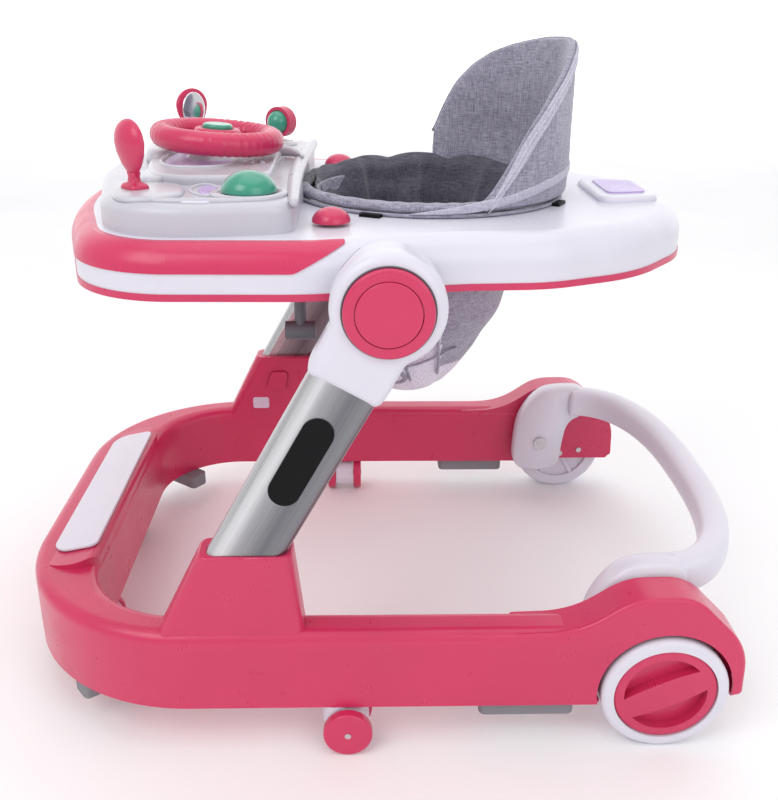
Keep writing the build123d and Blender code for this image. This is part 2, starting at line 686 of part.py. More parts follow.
for place, (x, y, turn) in CASTERS.items():
    for label, build in CASTER_PIECES.items():
        save(f"caster_{place}_{label}", Pos(x, y, 0) * Rot(0, 0, turn) * build())
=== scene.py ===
import json
from math import cos, exp, pi, radians, sin

import bmesh
import bpy
import numpy as np
from mathutils import Matrix, Vector, noise


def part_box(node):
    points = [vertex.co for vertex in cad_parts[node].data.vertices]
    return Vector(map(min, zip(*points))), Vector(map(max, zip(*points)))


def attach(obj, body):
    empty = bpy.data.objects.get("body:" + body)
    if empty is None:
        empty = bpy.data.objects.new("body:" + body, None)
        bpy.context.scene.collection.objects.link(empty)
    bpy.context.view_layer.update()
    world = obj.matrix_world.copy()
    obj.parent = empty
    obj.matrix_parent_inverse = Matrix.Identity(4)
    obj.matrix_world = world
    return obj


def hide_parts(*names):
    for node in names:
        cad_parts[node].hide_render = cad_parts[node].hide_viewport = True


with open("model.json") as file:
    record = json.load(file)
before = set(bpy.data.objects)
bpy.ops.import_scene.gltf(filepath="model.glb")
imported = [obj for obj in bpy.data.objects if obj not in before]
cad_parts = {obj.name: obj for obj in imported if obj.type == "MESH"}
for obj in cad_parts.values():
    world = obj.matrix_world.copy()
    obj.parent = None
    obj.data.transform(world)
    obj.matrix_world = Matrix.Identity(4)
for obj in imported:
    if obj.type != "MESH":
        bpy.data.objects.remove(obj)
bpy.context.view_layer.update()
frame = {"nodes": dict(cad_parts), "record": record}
nodes = frame["nodes"]
scene = bpy.context.scene

# Sizes below are in millimetres from the line that the CAD dimensions use. The middle of the left
# hub is known there, so its place in the frame gives the shift between the two.
HUB_X, HUB_Y, HUB_Z = 279.0, -24.0, 428.0
LEG_LEAN = radians(61)
hub_low, hub_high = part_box("hub_button_left")
SHIFT_Y = (hub_low[1] + hub_high[1]) / 2 - HUB_Y / 1000
DECK_Z = 474.0
CONSOLE_Z = 500.0
SEAT_Y = 22.0


def place(x, y, z):
    """A point given in millimetres, in the frame's metres."""
    return Vector((x / 1000, y / 1000 + SHIFT_Y, z / 1000))


# ---- materials ----
def start_material(name, roughness, metallic=0.0, coat=0.0, sheen=0.0):
    """A new material, with its node tree, its shader and the object coordinates."""
    material = bpy.data.materials.new(name)
    material.use_nodes = True
    tree = material.node_tree
    shader = tree.nodes["Principled BSDF"]
    shader.inputs["Roughness"].default_value = roughness
    shader.inputs["Metallic"].default_value = metallic
    shader.inputs["Coat Weight"].default_value = coat
    shader.inputs["Coat Roughness"].default_value = 0.18
    shader.inputs["Sheen Weight"].default_value = sheen
    shader.inputs["Sheen Roughness"].default_value = 0.5
    coords = tree.nodes.new("ShaderNodeTexCoord").outputs["Object"]
    return material, tree, shader, coords


def stretched(tree, coords, scale):
    """Coordinates scaled by a different number along each axis."""
    mapping = tree.nodes.new("ShaderNodeMapping")
    mapping.inputs["Scale"].default_value = scale
    tree.links.new(coords, mapping.inputs["Vector"])
    return mapping.outputs["Vector"]


def noise_value(tree, vector, scale, detail=2.0):
    texture = tree.nodes.new("ShaderNodeTexNoise")
    texture.inputs["Scale"].default_value = scale
    texture.inputs["Detail"].default_value = detail
    tree.links.new(vector, texture.inputs["Vector"])
    return texture.outputs["Fac"]


def ramp(tree, value, stops):
    """A colour ramp with (position, rgb) stops."""
    node = tree.nodes.new("ShaderNodeValToRGB")
    elements = node.color_ramp.elements
    while len(elements) < len(stops):
        elements.new(0.5)
    for element, (position, colour) in zip(elements, stops):
        element.position = position
        element.color = (*colour, 1)
    tree.links.new(value, node.inputs["Fac"])
    return node.outputs["Color"]


def spread(tree, value, low, high):
    """The value's middle range mapped from low to high."""
    node = tree.nodes.new("ShaderNodeMapRange")
    node.inputs["From Min"].default_value = 0.3
    node.inputs["From Max"].default_value = 0.7
    node.inputs["To Min"].default_value = low
    node.inputs["To Max"].default_value = high
    tree.links.new(value, node.inputs["Value"])
    return node.outputs["Result"]


def maths(tree, operation, a, b):
    node = tree.nodes.new("ShaderNodeMath")
    node.operation = operation
    for socket, value in zip(node.inputs, (a, b)):
        if isinstance(value, float):
            socket.default_value = value
        else:
            tree.links.new(value, socket)
    return node.outputs["Value"]


def bumped(tree, shader, height, strength, distance):
    node = tree.nodes.new("ShaderNodeBump")
    node.inputs["Strength"].default_value = strength
    node.inputs["Distance"].default_value = distance
    tree.links.new(height, node.inputs["Height"])
    tree.links.new(node.outputs["Normal"], shader.inputs["Normal"])


def shades(colour, amount):
    """Ramp stops from a little darker than a colour to a little lighter."""
    dark = tuple(c * (1 - amount) for c in colour)
    light = tuple(min(1.0, c * (1 + amount)) for c in colour)
    return [(0.3, dark), (0.7, light)]


def moulded_plastic(name, colour, roughness, coat=0.2, variation=0.05, grain=0.025):
    """Injection-moulded plastic: cloudy colour, fine grain, rubbed patches and hairline scuffs."""
    material, tree, shader, coords = start_material(name, roughness, coat=coat)
    clouds = noise_value(tree, coords, 9.0, 4.0)
    tree.links.new(ramp(tree, clouds, shades(colour, variation)), shader.inputs["Base Color"])
    rubbed = noise_value(tree, coords, 45.0, 5.0)
    scuffs = noise_value(tree, stretched(tree, coords, (30, 700, 240)), 1.0, 3.0)
    mixed = maths(tree, "ADD", maths(tree, "MULTIPLY", rubbed, 0.7), maths(tree, "MULTIPLY", scuffs, 0.3))
    tree.links.new(spread(tree, mixed, roughness - 0.05, roughness + 0.09), shader.inputs["Roughness"])
    grain_height = maths(tree, "ADD", noise_value(tree, coords, 700.0, 1.0),
                         noise_value(tree, coords, 14.0, 2.0))
    bumped(tree, shader, grain_height, grain, 0.0004)
    return material


def heathered_fabric(name, dark, light):
    """Woven marl: uneven light and dark threads running both ways, with a soft nap."""
    material, tree, shader, coords = start_material(name, 0.92, sheen=0.35)
    warp = noise_value(tree, stretched(tree, coords, (900, 900, 90)), 1.0, 3.0)
    weft = noise_value(tree, stretched(tree, coords, (110, 110, 1100)), 1.0, 3.0)
    patches = noise_value(tree, coords, 22.0, 3.0)
    threads = maths(tree, "ADD", maths(tree, "MULTIPLY", warp, 0.45), maths(tree, "MULTIPLY", weft, 0.45))
    threads = maths(tree, "ADD", threads, maths(tree, "MULTIPLY", patches, 0.1))
    middle = tuple((a + b) / 2 for a, b in zip(dark, light))
    colours = ramp(tree, threads, [(0.36, dark), (0.5, middle), (0.64, light)])
    tree.links.new(colours, shader.inputs["Base Color"])
    folds = maths(tree, "MULTIPLY", noise_value(tree, coords, 60.0, 2.0), 3.0)
    bumped(tree, shader, maths(tree, "ADD", threads, folds), 0.5, 0.0008)
    return material


def spacer_mesh(name, thread, hole):
    """Pale warp-knit mesh with small open cells."""
    material, tree, shader, coords = start_material(name, 0.85, sheen=0.3)
    cells = tree.nodes.new("ShaderNodeTexVoronoi")
    cells.inputs["Scale"].default_value = 340.0
    cells.inputs["Randomness"].default_value = 0.35
    tree.links.new(coords, cells.inputs["Vector"])
    distance = cells.outputs["Distance"]
    tree.links.new(ramp(tree, distance, [(0.12, hole), (0.42, thread)]), shader.inputs["Base Color"])
    soft = maths(tree, "ADD", distance, noise_value(tree, coords, 40.0, 3.0))
    bumped(tree, shader, soft, 0.45, 0.001)
    return material


def brushed_aluminium(name):
    """Anodised tube, brushed along the leg, with painted shade and a painted highlight band across it,
    lightest near its front edge.
    """
    material, tree, shader, coords = start_material(name, 0.34, metallic=1.0)
    along = (0, cos(LEG_LEAN), sin(LEG_LEAN))
    across = (0, -sin(LEG_LEAN), cos(LEG_LEAN))
    axes = []
    for axis, scale in ((along, 5.0), (across, 700.0), ((1, 0, 0), 700.0)):
        node = tree.nodes.new("ShaderNodeVectorMath")
        node.operation = "DOT_PRODUCT"
        node.inputs[1].default_value = Vector(axis) * scale
        tree.links.new(coords, node.inputs[0])
        axes.append(node.outputs["Value"])
    joined = tree.nodes.new("ShaderNodeCombineXYZ")
    for value, socket in zip(axes, joined.inputs):
        tree.links.new(value, socket)
    streaks = noise_value(tree, joined.outputs["Vector"], 1.0, 3.0)
    front = tree.nodes.new("ShaderNodeVectorMath")
    front.operation = "DOT_PRODUCT"
    front.inputs[1].default_value = across
    tree.links.new(coords, front.inputs[0])
    hub = place(0, HUB_Y, HUB_Z)
    offset = hub.y * -sin(LEG_LEAN) + hub.z * cos(LEG_LEAN)
    share = tree.nodes.new("ShaderNodeMapRange")
    share.inputs["From Min"].default_value = offset - 0.031
    share.inputs["From Max"].default_value = offset + 0.031
    tree.links.new(front.outputs["Value"], share.inputs["Value"])
    # Painted shade and a painted highlight band across the tube, standing in for how light falls on its
    # front edge.
    painted_shade_highlight = ramp(tree, share.outputs["Result"], [
        (0.0, (0.30, 0.30, 0.32)), (0.35, (0.20, 0.20, 0.22)), (0.68, (0.42, 0.42, 0.44)),
        (0.8, (0.74, 0.74, 0.76)), (1.0, (0.62, 0.62, 0.64))])
    brushed = ramp(tree, streaks, [(0.3, (0.80, 0.80, 0.80)), (0.7, (1.0, 1.0, 1.0))])
    blend = tree.nodes.new("ShaderNodeMix")
    blend.data_type = "RGBA"
    blend.blend_type = "MULTIPLY"
    blend.inputs[0].default_value = 1.0
    tree.links.new(painted_shade_highlight, blend.inputs[6])
    tree.links.new(brushed, blend.inputs[7])
    tree.links.new(blend.outputs[2], shader.inputs["Base Color"])
    tree.links.new(spread(tree, streaks, 0.24, 0.42), shader.inputs["Roughness"])
    bumped(tree, shader, streaks, 0.15, 0.0003)
    return material


def plain_metal(name, colour, roughness, scale):
    material, tree, shader, coords = start_material(name, roughness, metallic=1.0)
    marks = noise_value(tree, coords, scale, 4.0)
    tree.links.new(ramp(tree, marks, shades(colour, 0.08)), shader.inputs["Base Color"])
    tree.links.new(spread(tree, marks, roughness * 0.7, roughness * 1.5), shader.inputs["Roughness"])
    bumped(tree, shader, marks, 0.06, 0.0003)
    return material


PINK = (0.60, 0.026, 0.105)
WHITE = (0.70, 0.685, 0.77)
materials = {
    "pink_plastic": moulded_plastic("pink_plastic", PINK, 0.30),
    "white_plastic": moulded_plastic("white_plastic", WHITE, 0.32, variation=0.03),
    "console_plastic": moulded_plastic("console_plastic", (0.55, 0.54, 0.60), 0.30, variation=0.03),
    "green_plastic": moulded_plastic("green_plastic", (0.035, 0.30, 0.20), 0.22, coat=0.5),
    "grey_rubber": moulded_plastic("grey_rubber", (0.24, 0.24, 0.26), 0.75, coat=0.0, grain=0.4),
    "grey_plastic": moulded_plastic("grey_plastic", (0.12, 0.12, 0.14), 0.45, coat=0.0),
    "black_plastic": moulded_plastic("black_plastic", (0.004, 0.004, 0.005), 0.38, coat=0.0),
    "lilac_label": moulded_plastic("lilac_label", (0.50, 0.38, 0.70), 0.30, variation=0.10),
    "clear_window": moulded_plastic("clear_window", (0.70, 0.60, 0.74), 0.15, coat=0.8),
    "leg_aluminium": brushed_aluminium("leg_aluminium"),
    "steel": plain_metal("steel", (0.60, 0.60, 0.62), 0.28, 220.0),
    "mirror_film": plain_metal("mirror_film", (0.84, 0.84, 0.88), 0.09, 14.0),
    "grey_fabric": heathered_fabric("grey_fabric", (0.16, 0.152, 0.21), (0.45, 0.435, 0.54)),
    # A darker copy of the grey fabric, used as painted shade inside the seat.
    "painted_shade_fabric": heathered_fabric("painted_shade_fabric", (0.035, 0.033, 0.046), (0.13, 0.124, 0.165)),
    "pale_tape": heathered_fabric("pale_tape", (0.36, 0.35, 0.44), (0.60, 0.58, 0.70)),
    "mesh_fabric": spacer_mesh("mesh_fabric", (0.74, 0.71, 0.82), (0.42, 0.40, 0.50))}

# These two are matt, so they stay dark in a white studio.
for name in ("black_plastic", "grey_rubber"):
    materials[name].node_tree.nodes["Principled BSDF"].inputs["Specular IOR Level"].default_value = 0.15

for part in frame["record"]["subparts"]:
    mesh = nodes[part["node"]].data
    for index in range(len(mesh.materials)):
        mesh.materials[index] = materials[part["material_slot"]]


# ---- mesh helpers ----
def add_mesh(name, points, faces, slot, body, levels=0, look=None, second=None, in_second=None):
    """A smooth piece from millimetre points. look is a material other than the slot's own, and
    faces that pass in_second take a second material."""
    mesh = bpy.data.meshes.new(name)
    mesh.from_pydata([place(*p) for p in points], [], faces)
    work = bmesh.new()
    work.from_mesh(mesh)
    bmesh.ops.remove_doubles(work, verts=work.verts, dist=0.00002)
    bmesh.ops.recalc_face_normals(work, faces=work.faces)
    work.to_mesh(mesh)
    work.free()
    mesh.materials.append(materials[look or slot])
    if second:
        mesh.materials.append(materials[second])
    for polygon in mesh.polygons:
        polygon.use_smooth = True
        if second and in_second(polygon.center):
            polygon.material_index = 1
    piece = bpy.data.objects.new(name, mesh)
    scene.collection.objects.link(piece)
    if levels:
        modifier = piece.modifiers.new("subdivision", "SUBSURF")
        modifier.levels = levels
        modifier.render_levels = levels
    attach(piece, body)
    return piece


def skin(rings, around=True, along=False, caps=False):
    """Quads between equal rings of points, closed around each ring, and along them if asked."""
    count = len(rings[0])
    points = [p for ring in rings for p in ring]
    faces = []
    last = len(rings) if along else len(rings) - 1
    for i in range(last):
        a, b = i * count, (i + 1) % len(rings) * count
        for j in range(count if around else count - 1):
            k = (j + 1) % count
            faces.append((a + j, a + k, b + k, b + j))
    if caps:
        faces.append(tuple(range(count)))
        faces.append(tuple(range((len(rings) - 1) * count, len(rings) * count)))
    return points, faces


def rod(path, radius, closed=False, sides=10):
    """A round tube of points along a path; radius is a number or a function of 0..1."""
    path = [Vector(p) for p in path]
    count = len(path)
    rings = []
    side = None
    for i, point in enumerate(path):
        ahead = path[(i + 1) % count] if closed or i < count - 1 else point
        behind = path[i - 1] if closed or i > 0 else point
        along = (ahead - behind).normalized()
        if side is None:
            side = along.orthogonal().normalized()
        side = (side - along * side.dot(along)).normalized()
        other = along.cross(side)
        size = radius(i / (count - 1)) if callable(radius) else radius
        rings.append([point + (side * cos(t) + other * sin(t)) * size
                      for t in (2 * pi * j / sides for j in range(sides))])
    return skin(rings, along=closed, caps=not closed)


def add_rod(name, path, radius, slot, body, closed=False, sides=10):
    """A round tube as a piece."""
    points, faces = rod(path, radius, closed, sides)
    return add_mesh(name, points, faces, slot, body)


def powered(value, power):
    """A sine or cosine raised to a power with its sign kept, which squares or pinches an oval."""
    return abs(value) ** power * (1 if value >= 0 else -1)


def oval(x, y, a, b, turn=0.0, power=2.0, count=48):
    """A superellipse outline in plan."""
    outline = []
    for j in range(count):
        t = 2 * pi * j / count
        u = a * powered(cos(t), 2 / power)
        v = b * powered(sin(t), 2 / power)
        outline.append((x + u * cos(turn) - v * sin(turn), y + u * sin(turn) + v * cos(turn)))
    return outline


def pad_rings(outline, steps):
    """Rings of an outline drawn in towards its middle; steps are (share of size, z)."""
    cx = sum(p[0] for p in outline) / len(outline)
    cy = sum(p[1] for p in outline) / len(outline)
    return [[(cx + (x - cx) * f, cy + (y - cy) * f, z) for x, y in outline] for f, z in steps]


def add_pad(name, outline, z, height, slot, body="tray"):
    """A low raised pad with a soft edge."""
    steps = [(1.0, z - 0.6), (1.0, z + 0.35 * height), (0.96, z + 0.8 * height), (0.88, z + height),
             (0.5, z + height * 1.06), (0.08, z + height * 1.08)]
    points, faces = skin(pad_rings(outline, steps), caps=True)
    return add_mesh(name, points, faces, slot, body)


def add_rim(name, outline, z, width, slot, body="tray"):
    """A rounded rim that stands along an outline."""
    return add_rod(name, [(x, y, z) for x, y in outline], width, slot, body, closed=True)


def turned(name, profile, axis_point, slot, body, count=48):
    """A piece turned about a vertical axis from (radius, z) points."""
    x, y = axis_point
    rings = [[(x + r * cos(2 * pi * j / count), y + r * sin(2 * pi * j / count), z)
              for j in range(count)] for r, z in profile]
    points, faces = skin(rings, caps=True)
    return add_mesh(name, points, faces, slot, body)


def wobble(x, y, z, size):
    """Smooth noise from -1 to 1 with features about as large as size."""
    return noise.noise(Vector((x, y, z)) / size)


# ---- seat ----
# Height of the backrest's top edge at angles about the seat, from the far side round to the near.
REST_ANGLES = [-84, -79, -73, -65, -56, -46, -36, -24, -12, 0, 10, 20, 37, 51, 61, 68, 72]
REST_TOPS = [515, 545, 571, 590, 603, 611, 616, 620, 621, 621, 617, 606, 577, 545, 512, 490, 483]
REST_FROM, REST_TO = REST_ANGLES[0], REST_ANGLES[-1]
REST_FOOT = 481.0
TAPE_RADIUS = 136.0  # turns an angle into a length along the tape
RIM_RADIUS = 127.0
RIM_STEPS, RIM_SIDES = 240, 16
LINING_FOOT = 370.0
GRID = np.linspace(REST_FROM, REST_TO, 313)
KERNEL = np.exp(-np.linspace(-2, 2, 17) ** 2)
SMOOTH_TOPS = np.convolve(np.pad(np.interp(GRID, REST_ANGLES, REST_TOPS), 8, "edge"),
                          KERNEL / KERNEL.sum(), "valid")


def rest_top(angle):
    """Height of the backrest's top edge at an angle about the seat."""
    return float(np.interp(angle, GRID, SMOOTH_TOPS))


def around_seat(angle, radius, z):
    """A point about the seat's middle; angle 0 is the rear and 90 the child's left."""
    return (radius * sin(radians(angle)), SEAT_Y + radius * cos(radians(angle)), z)


def rest_radius(angle):
    """Middle radius of the backrest's wall, a little fuller at the rear."""
    return 131.5 + 5.0 * max(0.0, cos(radians(angle))) ** 2


def ribbon(name, line, full_width, proud):
    """A flat tape sewn on the backrest's outside; line holds (angle, z) points."""
    rings = []
    for i, (angle, z) in enumerate(line):
        before, after = line[max(0, i - 1)], line[min(len(line) - 1, i + 1)]
        run = radians(after[0] - before[0]) * TAPE_RADIUS
        rise = after[1] - before[1]
        length = max(0.001, (run * run + rise * rise) ** 0.5)
        width = full_width * min(1.0, 0.08 + (len(line) - 1 - i) / 14)
        ring = []
        for side, out in ((-0.5, 0.0), (-0.46, 1.5), (-0.3, 1.9), (0.3, 1.9), (0.46, 1.5), (0.5, 0.0)):
            turn = angle - side * width * rise / length / TAPE_RADIUS * 180 / pi
            height = z + side * width * run / length
            ring.append(around_seat(turn, rest_radius(turn) + proud + out, height))
        rings.append(ring)
    points, faces = skin(rings, caps=True)
    add_mesh(name, points, faces, "mesh_fabric", "tray", look="pale_tape")


def backrest():
    """Padded wrap-round backrest: a crowned wall with sewn channels and a rounded rim."""
    rings = []
    for angle in np.linspace(REST_FROM, REST_TO, 96):
        top = rest_top(angle)
        tall = top - REST_FOOT
        middle = rest_radius(angle)
        ring = []
        for s in np.linspace(0, 1, 26):
            z = REST_FOOT + tall * s
            channel = 1.8 * exp(-((angle + 30) / 1.6) ** 2) + 1.8 * exp(-((angle - 26) / 1.6) ** 2)
            pleat = 5.5 * (1 - s) ** 1.2 * max(0.0, sin(radians(angle * 8 + 40 * s))) ** 2
            fold = 4.0 * wobble(angle / 1.3, z / 2.6, 3, 15) * (1 - 0.55 * s)
            crown = 3.0 * sin(pi * min(1.0, s)) ** 0.6
            ring.append(around_seat(angle, middle - 3.5 - crown - fold + channel - pleat, z))
        for t in np.linspace(0.15, 0.85, 5):
            ring.append(around_seat(angle, middle - 3.6 * cos(pi * t), top + 2.2 * sin(pi * t)))
        for s in np.linspace(1, 0, 26):
            z = REST_FOOT + tall * s
            fold = 2.0 * wobble(angle / 2.2, z / 2.5, 20, 15) * (1 - 0.5 * s)
            ring.append(around_seat(angle, middle + 3.6 + fold + 1.2 * sin(pi * s), z))
        rings.append(ring)
    points, faces = skin(rings, caps=True)
    piece = add_mesh("backrest_cushion", points, faces, "grey_fabric", "tray", levels=1)
    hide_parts("seat_backrest")
    near = [(a, rest_top(a) - 5.0) for a in np.linspace(-3, 71, 60)]
    ribbon("backrest_binding", near, 13.0, 3.9)
    edge = [around_seat(a, rest_radius(a) + 0.5, rest_top(a) + 1.2)
            for a in np.linspace(REST_FROM, REST_TO, 110)]
    add_rod("backrest_edge_roll", edge, 2.2, "grey_fabric", "tray", sides=8)
    for index, drop in enumerate((1.6, 8.4)):
        stitch = [around_seat(a, rest_radius(a) + 6.0, rest_top(a) - drop) for a in np.linspace(-2, 70, 70)]
        add_rod(f"binding_stitch_{index}", stitch, 0.4, "mesh_fabric", "tray", sides=5)
    skirt = np.linspace(-34, 100, 70)
    heights = np.interp(skirt, [-34, 15, 40, 60, 80, 100], [508, 505, 498, 489, 482, 478])
    ribbon("seat_skirt_binding", list(zip(skirt, heights)), 9.0, 4.4)


# Radius of the bowl in front and behind at heights from its bottom to the deck, and the leg holes.
BOWL_Z = [264, 265, 268, 274, 288, 310, 345, 385, 420, 450, 468, 479]
BOWL_FRONT = [0, 20, 42, 60, 75, 87, 95, 103, 109, 113, 116, 117.2]
BOWL_REAR = [0, 10, 20, 30, 40, 54, 77, 93, 104, 111, 115.5, 117.2]
HOLE_X, HOLE_Z, HOLE_A, HOLE_B = 48.0, 335.0, 31.0, 47.0


def bowl_radius(angle, z):
    """Radius of the bowl's wall at a height, steeper in front than behind."""
    front = float(np.interp(z, BOWL_Z, BOWL_FRONT))
    rear = float(np.interp(z, BOWL_Z, BOWL_REAR))
    share = min(1.0, max(0.0, 0.5 + 0.9 * cos(radians(angle))))
    share = share * share * (3 - 2 * share)
    return front + (rear - front) * share


def rim_swell(a):
    """How far over on the far side an angle is, from 0 to 1, and the rim pad's half height there."""
    far = max(0.0, -sin(a)) ** 1.4
    scallop = abs(sin(a * 5.5 + 0.9)) ** 0.7
    return far, 5.2 + far * (2.5 + 4.5 * scallop)


def rim_pad():
    """The seat's edge: thin padding laid on the deck, standing higher and gathered on the far side."""
    rings = []
    for angle in np.linspace(0, 360, RIM_STEPS + 1)[:-1]:
        a = radians(angle)
        far, tall = rim_swell(a)
        gather = 0.9 * sin(a * 37 + 3 * sin(a * 4)) + 0.7 * wobble(70 * cos(a), 70 * sin(a), 4, 7)
        wide = 7.0 + 2.5 * far
        ring = []
        for j in range(RIM_SIDES):
            t = 2 * pi * j / RIM_SIDES
            radius = RIM_RADIUS + wide * cos(t) - far * 3 * max(0.0, sin(t)) + gather * 0.35 * (1 - cos(t))
            z = DECK_Z + 5.6 + 0.4 * tall + tall * sin(t) + gather * 0.5 * max(0.0, sin(t))
            ring.append(around_seat(angle, radius, max(z, DECK_Z + 0.4)))
        rings.append(ring)
    points, faces = skin(rings, along=True)
    piece = add_mesh("seat_rim_pad", points, faces, "grey_fabric", "tray", levels=1)
    # The rim pad's inner faces take the darker fabric as painted shade.
    piece.data.materials.append(materials["painted_shade_fabric"])
    for face in piece.data.polygons:
        ring, spot = divmod(face.vertices[0], RIM_SIDES)
        far_side = sin(2 * pi * ring / RIM_STEPS) < 0.12
        if (3 if far_side else 6) <= spot <= 12:
            face.material_index = 1
    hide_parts("seat_rim_roll")
    circle = [around_seat(a, 135.2, DECK_Z + 2.2) for a in np.linspace(0, 360, 121)[:-1]]
    add_rod("seat_rim_piping", circle, 1.7, "grey_fabric", "tray", closed=True, sides=8)


def lining():
    """The lining that falls from the rim into the bowl in broad folds, darkened with painted shade."""
    rings = []
    for s in np.linspace(0, 1, 44):
        ring = []
        for j in range(200):
            a = 2 * pi * j / 200
            beyond, tall = rim_swell(a)
            crest = DECK_Z + 5.6 + 0.4 * tall + min(1.0, 3 * beyond) * (tall + 1.0)
            z = crest - (crest - LINING_FOOT) * s
            far = 0.35 + 0.65 * max(0.0, -sin(a))
            broad = abs(sin(a * 4.5 + 0.7 + 0.5 * s)) ** 0.6
            small = 0.5 + 0.5 * sin(a * 21 + 4 * sin(a * 3) + 2 * s)
            depth = sin(pi * min(1.0, s * 0.9 + 0.06)) ** 0.7
            crush = wobble(90 * cos(a), 90 * sin(a), z, 16)
            inward = depth * (far * 17 * (1 - broad) + 2.2 * small + 3.0 * crush)
            inner = RIM_RADIUS - (7 + 2.5 * beyond) - 4.5
            if s < 0.1:
                over = sin(pi / 2 * s / 0.1)
                base = inner + (1 - over) * min(1.0, 3 * beyond) * (RIM_RADIUS - 3 * beyond - inner)
            else:
                fall = min(1.0, (s - 0.1) / 0.15)
                base = inner + fall * (bowl_radius(a * 180 / pi, min(z, 479)) - 6.5 - inner)
            ring.append(around_seat(a * 180 / pi, base - max(0.0, inward), z + 2 * depth * crush))
        rings.append(ring)
    points, faces = skin(rings)
    # The lining takes the darker fabric as painted shade inside the bowl.
    piece = add_mesh("seat_lining", points, faces, "grey_fabric", "tray", levels=1,
                     look="painted_shade_fabric")


def hole_distance(x, y, z):
    """How far outside a leg hole's outline a point of the front wall is, as a share of its size."""
    if y > 0:
        return 9.0
    return (((abs(x) - HOLE_X) / HOLE_A) ** 4 + ((z - HOLE_Z) / HOLE_B) ** 4) ** 0.25


def sling():
    """The sewn sling under the tray: pale mesh in front, grey cloth behind, with two leg holes."""
    lengths = np.linspace(0, 1, len(BOWL_Z))
    count = 144
    rings = []
    for s in np.linspace(0, 1, 50):
        z = float(np.interp(s, lengths, BOWL_Z))
        ring = []
        for j in range(count):
            a = 360 * j / count
            hang = 4.0 * sin(pi * s) * wobble(40 * sin(radians(a)), 40 * cos(radians(a)), z, 24)
            x, y, z1 = around_seat(a, max(0.5, bowl_radius(a, z) - 2.4 + hang), z)
            near = hole_distance(x, y, z1)
            if 0.8 < near < 1.0:
                x = (HOLE_X + (abs(x) - HOLE_X) / near) * (1 if x > 0 else -1)
                z1 = HOLE_Z + (z1 - HOLE_Z) / near
            ring.append((x, y, z1))
        rings.append(ring)
    points, faces = skin(rings)
    centres = [tuple(sum(points[i][k] for i in face) / 4 for k in range(3)) for face in faces]
    faces = [face for face, c in zip(faces, centres) if hole_distance(*c) > 0.97]
    split = SHIFT_Y + 0.036
    piece = add_mesh("sling_seat", points, faces, "mesh_fabric", "tray", second="grey_fabric",
                     in_second=lambda c: c.y > split and c.z > 0.30 or c.z > 0.44)
    shell = piece.modifiers.new("thickness", "SOLIDIFY")
    shell.thickness = 0.0024
    shell.offset = -1
    smooth = piece.modifiers.new("subdivision", "SUBSURF")
    smooth.levels = 1
    smooth.render_levels = 1
    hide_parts("seat_bucket")
    for sign, side in ((1, "left"), (-1, "right")):
        path = []
        for j in range(56):
            t = 2 * pi * j / 56
            x, z = HOLE_X + HOLE_A * powered(cos(t), 0.5), HOLE_Z + HOLE_B * powered(sin(t), 0.5)
            radius = bowl_radius(150, z) - 1.5
            y = SEAT_Y - max(0.0, radius ** 2 - x ** 2) ** 0.5
            path.append((sign * x, min(y, 0.0), z))
        add_rod(f"leg_hole_piping_{side}", path, 2.4, "grey_fabric", "tray",
                             closed=True, sides=8)
        for index, (start, lean) in enumerate(((76, 10), (104, 6))):
            seam = []
            for z in np.linspace(292, 470, 34):
                turn = start + lean * sin((z - 292) / 178 * pi)
                seam.append(around_seat(sign * turn, bowl_radius(turn, z) + 0.4, z))
            add_rod(f"sling_seam_{side}_{index}", seam, 1.5, "grey_fabric", "tray", sides=8)
        band = []
        for turn in np.linspace(62, 128, 30):
            z = 316 + 10 * sin(radians(turn * 2))
            band.append(around_seat(sign * turn, bowl_radius(turn, z) + 0.4, z))
        add_rod(f"sling_band_{side}", band, 1.3, "grey_fabric", "tray", sides=8)


backrest()
rim_pad()
lining()
sling()


# ---- hub housings ----
def housing(side_name, sign):
    """White bulb at the top of a leg that flows into the sleeve round the tube."""
    angles = np.linspace(0, 2 * pi, 145)[:-1]
    reach = []
    for t in angles:
        u, v = cos(t - LEG_LEAN), sin(t - LEG_LEAN)
        sleeve = 0.0
        if u < 0:
            sleeve = min(79.0 / -u, 35.0 / max(1e-6, abs(v)))
        reach.append(max(48.0, sleeve))
    reach = np.array(reach)
    weights = np.array([1, 3, 5, 3, 1]) / 13
    soft = sum(w * np.roll(reach, k - 2) for k, w in enumerate(weights))
    rings = []
    for x, inset in ((243.6, 3), (244.6, 0.8), (246.5, 0), (262, 0), (266, 0.8), (269, 2.6), (271, 5.4),
                     (272, 8.6), (272.2, 12)):
        ring = []
        for t, r in zip(angles, soft):
            keep = max(30.0, r - inset)
            ring.append((sign * x, HUB_Y + keep * cos(t), HUB_Z + keep * sin(t)))
        rings.append(ring)
    points, faces = skin(rings, caps=True)
    piece = add_mesh(f"hub_housing_{side_name}", points, faces, "white_plastic", "legs", levels=1)
    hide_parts(f"leg_housing_{side_name}")
    groove = [(sign * 272.4, HUB_Y + 37.6 * cos(t), HUB_Z + 37.6 * sin(t)) for t in angles[::2]]
    add_rod(f"ring_groove_{side_name}", groove, 0.8, "grey_plastic", "legs", closed=True, sides=8)


housing("left", 1)
housing("right", -1)


# ---- push handle ----
def side_pad(name, outline, x0, x1, soft, slot, body):
    """A plate with soft edges from a (y, z) outline, between two x planes."""
    cy = sum(p[0] for p in outline) / len(outline)
    cz = sum(p[1] for p in outline) / len(outline)
    size = max(((y - cy) ** 2 + (z - cz) ** 2) ** 0.5 for y, z in outline)
    direction = 1 if x1 > x0 else -1
    drops = (1.0, 0.4, 0.0)
    rings = []
    for x, way, order in ((x0, direction, drops), (x1, -direction, drops[::-1])):
        for drop in order:
            f = 1 - drop * soft / size
            rings.append([(x + way * soft * (1 - drop) * 0.9, cy + (y - cy) * f, cz + (z - cz) * f)
                          for y, z in outline])
    points, faces = skin(rings, caps=True)
    return add_mesh(name, points, faces, slot, body)


